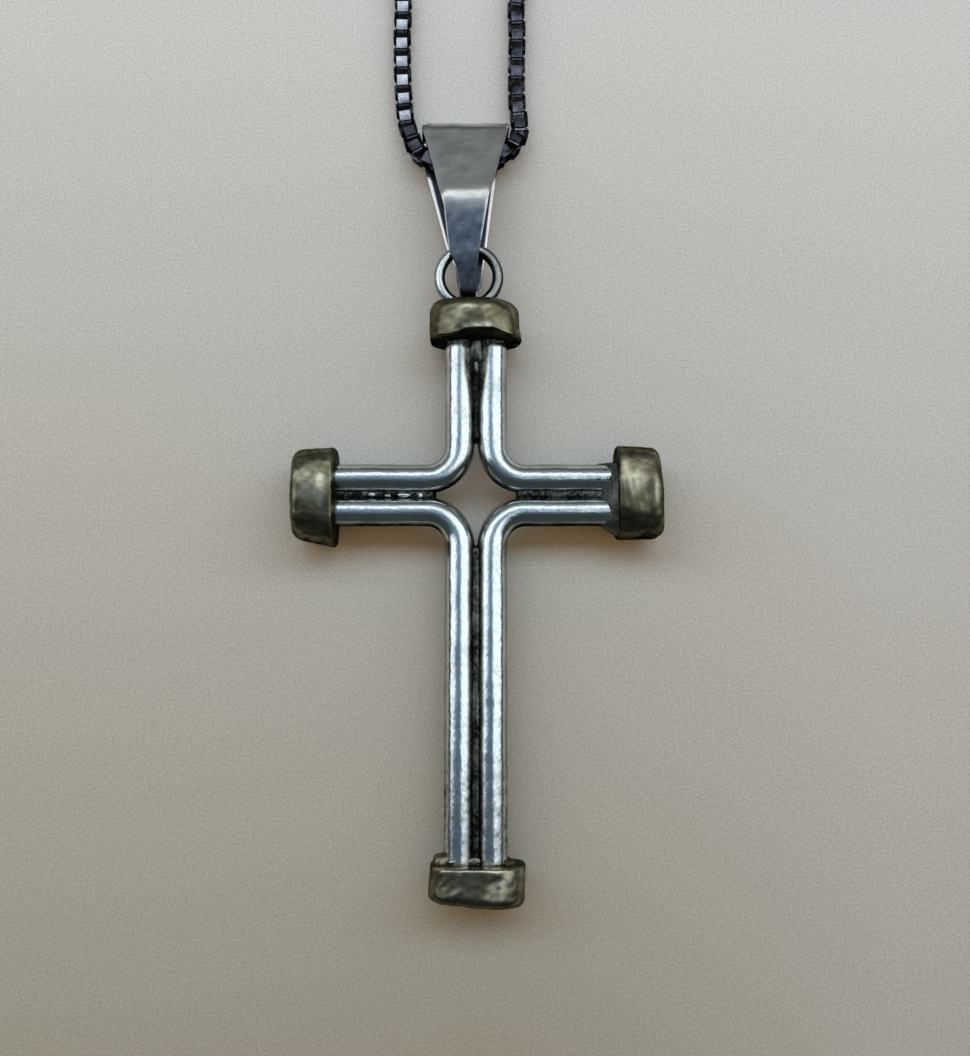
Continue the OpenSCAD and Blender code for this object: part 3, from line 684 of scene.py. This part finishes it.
bail = {"sheet": 0.45, "length": 12.48, "width": 6.06, "crease": 3.9, "fold": 2.25, "frontGap": 0.2,
        "backGap": 0.38, "tipGap": 0.57, "tongueBend": 0.7, "backAt": 0.295, "creaseAt": 0.519,
        "tongueDrop": 0.4, "radii": (0.4, 30, 0.85, 0.85, 2.4, 0.5, 0.4), "frontCorner": 3,
        "step": 0.12, "perArc": 10, "columns": 15, "innerShares": (0.04, 0.065, 0.3, 0.7, 0.935, 0.96),
        # how far in and how deep the edges are cut: all along, and where the bevels are
        "edgeLeft": (0.09, 0.06), "edgeRight": (0.07, 0.06), "edgeBack": 0.05,
        "bevelLeft": (0.42, 0.13), "bevelRight": (0.16, 0.1), "leftAt": (-0.02, 0.04), "rightAt": (0.2, 0.4),
        "uneven": 0.006, "waves": (1.8, 0.3, 0.6), "seed": 71}
bailTarnishAndShade = {  # painted shade on the front above and below its crease, most below it, on the tongue and inside the loop under the front; the crease is left without it. The places are shares of the length, most of them counted from the crease
    # crease is rubbed clean. The places are shares of the length, most of them counted from the crease
    "tarnishAndShade": 0.05, "upper": 0.1, "upperAt": (0.02, 0.06), "lower": 0.55, "lowerBy": 0.05,
    "tongue": 0.16, "tongueAt": (-0.25, -0.15), "inside": 0.8, "crownAt": 0.02, "crownWide": 0.05,
    "clouds": 0.05, "waves": (0.9, 0.6, 0.35)}
# place along the strip, width and way to the left: shares of the length and of the width
frontWidths = np.array([[0, 0.173, 0.005], [0.1, 0.21, 0.015], [0.165, 0.245, 0.023], [0.228, 0.335, 0.05],
                        [0.466, 0.48, 0.033], [0.519, 0.525, 0.038], [0.97, 1, 0.038], [1, 1, 0.038]])
backWidths = np.array([[0, 0.18, 0.005], [0.1, 0.29, -0.008], [0.165, 0.302, -0.009], [0.293, 0.46, 0.028],
                       [0.386, 0.533, 0.041], [0.708, 0.789, 0.087], [0.784, 0.858, 0.092],
                       [0.9, 0.95, 0.07], [0.97, 1, 0.045], [1, 1, 0.038]])
halfSheet = bail["sheet"] / 2
tipY = topFace + bail["tipGap"]
foldY = tipY + bail["length"] - halfSheet
ringFront = lieHeight + ring["wire"] / 2 + bail["frontGap"] + halfSheet
ringBack = lieHeight - ring["wire"] / 2 - bail["backGap"] - halfSheet
backY = tipY + bail["backAt"] * bail["length"]


def roundedLoop(corners, radii, step, perArc):
    # straight runs between corners, each corner replaced by the arc that touches both its sides
    count, arcs = len(corners), []
    for k in range(count):
        at, before, after = corners[k], corners[k - 1], corners[(k + 1) % count]
        u, v = unit(before - at), unit(after - at)
        half = np.arccos(np.clip(u @ v, -1, 1)) / 2
        middle = at + unit(u + v) * radii[k] / np.sin(half)
        start, end = at + u * radii[k] / np.tan(half) - middle, at + v * radii[k] / np.tan(half) - middle
        first = np.arctan2(start[1], start[0])
        turn = (np.arctan2(end[1], end[0]) - first + 3 * pi) % (2 * pi) - pi
        angles = first + turn * np.linspace(0, 1, perArc)
        arcs.append((middle + radii[k] * np.stack([np.cos(angles), np.sin(angles)], -1), k))
    points, corner = [], []
    for (arc, k), (nextArc, _) in zip(arcs, arcs[1:] + arcs[:1]):
        gap = np.linalg.norm(nextArc[0] - arc[-1])
        between = np.linspace(0, 1, int(gap / step) + 2)[1:-1, None]
        points += [arc, arc[-1] + (nextArc[0] - arc[-1]) * between]
        corner += [k] * (len(arc) + len(between))
    return np.concatenate(points), np.array(corner)


def bailWear(points, along, front, n):
    # tarnish and painted shade of the bail: n is how far a point lies out of the middle of the sheet
    look, crease = bailTarnishAndShade, bail["creaseAt"]
    # painted shade on the front's facets, the tongue and the inside of the loop, kept off the crease
    lower = (front * gently(-along, -crease, -crease + look["lowerBy"]))[:, None]
    upper = gently(along, crease + look["upperAt"][0], crease + look["upperAt"][1])[:, None]
    flatFront = (np.abs(n - halfSheet) < 0.01) & front[:, None]
    insideShade = np.zeros(n.shape[1])
    insideShade[-len(bail["innerShares"]) + 1:-1] = look["inside"]
    crown = np.exp(-((along - crease + look["crownAt"]) / look["crownWide"]) ** 2)[:, None] * front[:, None]
    faceShade = flatFront * (look["upper"] * upper + look["lower"] * lower) * (1 - crown)
    tarnishAndShade = look["tarnishAndShade"] + faceShade + insideShade
    tarnishAndShade = tarnishAndShade + look["tongue"] * lower * gently(-along, *look["tongueAt"])[:, None]
    return tarnishAndShade + look["clouds"] * twoWaves(points, bail["seed"] + 2, *look["waves"]) * flatFront


def bailSurface():
    # a bevelled strip section carried round the loop: x runs across the strip, n out of the loop
    creaseY = tipY + bail["creaseAt"] * bail["length"]
    corners = np.array([  # y and z, from the back's end at the ring; frontCorner is the first on the front
        (tipY + halfSheet, ringBack), (backY, ringBack), (foldY, halfSheet),
        (foldY, bail["fold"] - halfSheet), (creaseY, bail["crease"] - halfSheet),
        (ringY + ringRadius - ring["wire"] / 2 - bail["tongueBend"], ringFront - bail["frontGap"]),
        (tipY + halfSheet, ringFront - bail["tongueDrop"] * (ringFront - ringBack))])
    path, corner = roundedLoop(corners, bail["radii"], bail["step"], bail["perArc"])
    along = np.clip((path[:, 0] - tipY) / bail["length"], 0, 1)
    front = corner >= bail["frontCorner"]

    def onSide(column):
        return np.where(front, np.interp(along, frontWidths[:, 0], frontWidths[:, column]),
                        np.interp(along, backWidths[:, 0], backWidths[:, column])) * bail["width"]

    width, middleX = onSide(1) / 2, -ring["left"] - onSide(2)
    way = unit(np.roll(path, -1, 0) - np.roll(path, 1, 0))
    area = (path[:, 0] * np.roll(path[:, 1], -1) - path[:, 1] * np.roll(path[:, 0], -1)).sum()
    out = np.stack([way[:, 1], -way[:, 0]], -1) * np.sign(area)  # away from the inside of the loop

    def cuts(edge, bevel, share):
        return ((low + (high - low) * share)[:, None] for low, high in zip(edge, bevel))

    leftFrom, leftTo = (bail["creaseAt"] + by for by in bail["leftAt"])
    leftShare = front.astype(float) * gently(along, leftFrom, leftTo)
    rightShare = front.astype(float) * gently(along, *bail["rightAt"])
    leftIn, leftDrop = cuts(bail["edgeLeft"], bail["bevelLeft"], leftShare)
    rightIn, rightDrop = cuts(bail["edgeRight"], bail["bevelRight"], rightShare)
    w, one = width[:, None], np.ones((len(path), 1))
    face = np.linspace(0, 1, bail["columns"])[1:-1]
    inside = bail["innerShares"]
    xs = [-w, -w, -w + leftIn, *[(-w + leftIn) + (2 * w - leftIn - rightIn) * t for t in face],
          w - rightIn, w, w, *[w - 2 * w * t for t in inside]]
    ns = [(-halfSheet + bail["edgeBack"]) * one, (halfSheet - leftDrop) * one, halfSheet * one,
          *[halfSheet * one for _ in face], halfSheet * one, (halfSheet - rightDrop) * one,
          (-halfSheet + bail["edgeBack"]) * one, *[-halfSheet * one for _ in inside]]
    x, n = np.concatenate(xs, 1) + middleX[:, None], np.concatenate(ns, 1)
    points = np.stack([x, path[:, :1] + n * out[:, :1], path[:, 1:] + n * out[:, 1:]], -1)
    lift = bail["uneven"] * twoWaves(points, bail["seed"], *bail["waves"])
    points[..., 1:] += out[:, None] * lift[..., None]
    points[..., 2] = np.maximum(points[..., 2], 0)
    return *gridSurface(points, loopRows=True), bailWear(points, along, front, n).reshape(-1)


makePiece("bailStrip", [bailSurface()], "silverSheet", ["bail"], crease=24)

# the chain and its clasp

chain = {"width": 1.2, "wall": 0.16, "strip": 0.84, "link": 1.0, "pitch": 0.68, "restGap": 0.17,
         "restY": -3, "loopWidth": 113.2, "loopLength": 145.4, "loopLeft": 1.2, "approach": 1.6,
         "cornerCut": 0.27, "cornerAt": 0.8, "edge": 0.05, "perStretch": 40}
chainTarnishAndLight = {  # the chain's black oxide, and how much is taken off the outer faces, partly rubbed off and partly painted highlight: near the pendant less towards each link's lower end on the left strand and only there on the right one, farther off all alike; painted shade leaves less on turned links, on side faces and at the bail
    # link's lower end on the left strand and only there on the right one, farther off all alike, and less
    # on turned links, on side faces and at the bail
    "darkTone": 0.98, "rubbedAndHighlit": 0.9, "beyond": 0.75, "beyondAt": (12, 30), "left": 1.05,
    "leftFades": (0.5, 0.2, 0.9), "right": 0.08, "rightGains": (1.0, 0.6, 0.95), "atBail": (0.6, -1.0, 0.5),
    "turned": 0.15, "low": 0.25, "lowAt": 0.5, "uneven": 0.1, "seed": 81}
clasp = {"length": 8.4, "width": 2.6, "end": 1.8, "taper": 1.3, "chainIn": 0.9, "hole": 0.3, "edge": 0.06,
         "pastTaper": [(0, 0.04), (0.1, 0), (0.25, 0), (0.32, 0.12), (0.55, 0.12), (0.62, 0), (0.85, 0),
                       (0.95, 0.02)],  # the barrel's steps: how far on, how far below the full width
         "toMiddle": [(0.12, 0.02), (0.04, 0.1), (0, 0.1)],
         "sides": 64, "tarnishAndShade": 0.2, "grooveSkin": 0.7, "grooveFrom": 0.05}
# the loop's right side, from the clasp down: shares of half its width and of its length
loopSide = np.array([
    (0.226, 0.9917), (0.403, 0.9704), (0.571, 0.9326), (0.721, 0.8845), (0.845, 0.8226), (0.933, 0.7538),
    (0.986, 0.6781), (1.0, 0.6025), (0.977, 0.5234), (0.915, 0.4512), (0.818, 0.3790), (0.686, 0.3171),
    (0.535, 0.2655), (0.385, 0.2173), (0.253, 0.1726), (0.147, 0.1314), (0.088, 0.0970), (0.072, 0.0695),
    (0.072, 0.0488), (0.071, 0.0282)])
# the way through the bail: shares of the bail's width, millimetres beyond its fold, shares of the rise
bailRun = np.array([
    (-0.756, 2.1, 0), (-0.731, 0.7, 0.1), (-0.665, -0.5, 0.35), (-0.607, -1.6, 0.75), (-0.483, -2.35, 0.95),
    (-0.318, -2.8, 1), (-0.12, -3, 1), (0.078, -2.9, 1), (0.259, -2.55, 1), (0.415, -1.9, 0.9),
    (0.514, -1.15, 0.7), (0.582, -0.2, 0.35), (0.578, 0.9, 0.1), (0.556, 2.1, 0)])
claspY = foldY + chain["loopLength"]


def chainPath():
    # the way of the chain's middle, from one end in the clasp to the other
    restZ = 2 * halfSheet - (ringBack - halfSheet) * chain["restY"] / (foldY - backY) + chain["restGap"]
    half = chain["width"] / 2
    claspZ = clasp["width"] / 2 - half

    def claspEnd(side):
        out = np.array([-clasp["chainIn"], chain["approach"]])
        return np.stack([side * (clasp["length"] / 2 + out) - chain["loopLeft"], 0 * out + claspY,
                         0 * out + claspZ], -1)

    def strand(side):
        return np.stack([side * loopSide[:, 0] * chain["loopWidth"] / 2 - chain["loopLeft"],
                         foldY + loopSide[:, 1] * chain["loopLength"], 0 * loopSide[:, 0]], -1)

    run = bailRun * np.array([bail["width"], 1, restZ]) + np.array([-ring["left"], foldY, 0])
    return np.concatenate([claspEnd(-1), strand(-1), run, strand(1)[::-1], claspEnd(1)[::-1]]) + [0, 0, half]


def smoothPath(points, count):
    # Catmull-Rom: (2b + (c - a) t + (2a - 5b + 4c - d) t^2 + (3b - a - 3c + d) t^3) / 2
    padded = np.concatenate([[2 * points[0] - points[1]], points, [2 * points[-1] - points[-2]]])
    a, b, c, d = (padded[k:len(padded) - 3 + k, None] for k in range(4))
    t = np.linspace(0, 1, count, endpoint=False)[None, :, None]
    curve = (2 * b + (c - a) * t + (2 * a - 5 * b + 4 * c - d) * t ** 2
             + (3 * b - a - 3 * c + d) * t ** 3) / 2
    return np.concatenate([curve.reshape(-1, 3), points[-1:]])


def linkTemplate():
    # a square ring: twelve places (along, up), each with four points of the strip's section
    cut, at, edge = chain["cornerCut"], chain["cornerAt"], chain["edge"]
    out = np.array([(1, 1 - cut), (at, at), (1 - cut, 1), (cut - 1, 1), (-at, at), (-1, 1 - cut),
                    (-1, cut - 1), (-at, -at), (cut - 1, -1), (1 - cut, -1), (at, -at), (1, cut - 1)])
    outer = out * np.array([chain["link"], chain["width"]]) / 2
    inner = out * (np.array([chain["link"], chain["width"]]) / 2 - chain["wall"])
    half = chain["strip"] / 2
    shape = [(1, half - edge), (0, half), (0, -half), (1, edge - half)]
    ringPoints = [np.concatenate([inner + (outer - inner) * s, np.full((12, 1), w)], 1) for s, w in shape]
    return np.stack(ringPoints, 1)  # [corner, section, (along, up, aside)]


def linkTarnishAndLight(template, middle, turned):
    # tarnish, painted highlight and painted shade of every link at every point of the template
    look = chainTarnishAndLight
    along, rise = template[..., 0] / chain["link"] * 2, template[..., 1] / chain["width"] * 2
    outside = np.where(np.arange(4) % 3 == 0, 1.0, 0.0)[None]
    onLeft = (middle[:, 0] < -ring["left"])[:, None, None]
    low, high = look["beyondAt"]
    near = gently(-middle[:, 1], -foldY - high, -foldY - low)[:, None, None]
    # painted highlight and shade: near the pendant the left strand is lit, the right one only at each link's
    # end
    lit = np.where(onLeft, look["left"] - ramp(along, *look["leftFades"]),
                   look["right"] + ramp(-along, *look["rightGains"]))
    lit = (1 - near) * look["beyond"] + near * lit
    # painted shade at the bail, on turned links, on side faces and low on each link
    lit = lit * (1 - ramp(foldY - middle[:, 1], *look["atBail"]))[:, None, None]
    lit = lit * outside * np.where(turned[..., None], look["turned"], 1)
    lit = lit * (1 - look["low"] * (rise < look["lowAt"]))
    random = np.random.default_rng(look["seed"])
    lit = lit + look["uneven"] * random.normal(size=(len(middle), 1, 1)) * outside
    return look["darkTone"] - look["rubbedAndHighlit"] * np.clip(lit, 0, 1)


def makeChain():
    curve = smoothPath(chainPath(), chain["perStretch"])
    steps = np.linalg.norm(np.diff(curve, axis=0), axis=1)
    travelled = np.concatenate([[0], np.cumsum(steps)])
    count = int(round((travelled[-1] - chain["link"]) / chain["pitch"])) + 1
    at = np.linspace(chain["link"] / 2, travelled[-1] - chain["link"] / 2, count)

    def place(s):
        return np.stack([np.interp(s, travelled, curve[:, k]) for k in range(3)], -1)

    middle = place(at)
    way = unit(place(at + chain["pitch"] / 2) - place(at - chain["pitch"] / 2))
    aside = unit(np.cross(way, [0, 0, 1]))
    up = np.cross(aside, way)
    turned = (np.arange(count) % 2 == 1)[:, None]
    ringUp, ringAside = np.where(turned, aside, up), np.where(turned, up, aside)
    template, faces = linkTemplate(), gridSurface(linkTemplate(), loopRows=True)[1]
    points = (middle[:, None, None] + template[None, ..., :1] * way[:, None, None]
              + template[None, ..., 1:2] * ringUp[:, None, None]
              + template[None, ..., 2:] * ringAside[:, None, None])
    points[..., 2] = np.maximum(points[..., 2], 0)
    perLink = template.shape[0] * template.shape[1]
    allFaces = (np.arange(count)[:, None, None] * perLink + np.array(faces)[None]).reshape(-1, 4)
    # the template's faces look outwards in a right-handed frame, so they are reversed in a left-handed one
    hand = np.einsum("ij,ij->i", np.cross(way, ringUp), ringAside)
    allFaces = np.where(np.repeat(hand < 0, len(faces))[:, None], allFaces[:, ::-1], allFaces)
    tarnishAndShade = linkTarnishAndLight(template, middle, turned).reshape(-1)
    surfaces = [(points.reshape(-1, 3), allFaces.tolist(), tarnishAndShade)]
    makePiece("chainLinks", surfaces, "darkSilver", ["chain"], crease=30)
    print("chain of", count, "links,", round(travelled[-1], 1), "mm long")


def claspSurface():
    # a turned barrel: radius over length, with a groove near each end and one round the middle
    length, full, end, edge = clasp["length"], clasp["width"] / 2, clasp["end"] / 2, clasp["edge"]
    x = np.array([0, 0, edge, *(clasp["taper"] + on for on, _ in clasp["pastTaper"]),
                  *(length / 2 - before for before, _ in clasp["toMiddle"])])
    r = np.array([clasp["hole"], end - edge, end,
                  *(full - below for _, below in clasp["pastTaper"] + clasp["toMiddle"])])
    x, r = np.concatenate([x, length - x[-2::-1]]), np.concatenate([r, r[-2::-1]])
    angle = circle(clasp["sides"])
    points = np.stack([x[:, None] + 0 * angle, r[:, None] * np.cos(angle), r[:, None] * np.sin(angle)], -1)
    points += np.array([-chain["loopLeft"] - length / 2, claspY, full])
    tarnishAndShade = clasp["tarnishAndShade"] + clasp["grooveSkin"] * (r < full - clasp["grooveFrom"])[:, None] + 0 * angle
    return *gridSurface(points), tarnishAndShade.reshape(-1)


makeChain()
makePiece("barrelClasp", [claspSurface()], "darkSilver", ["clasp"], crease=35)
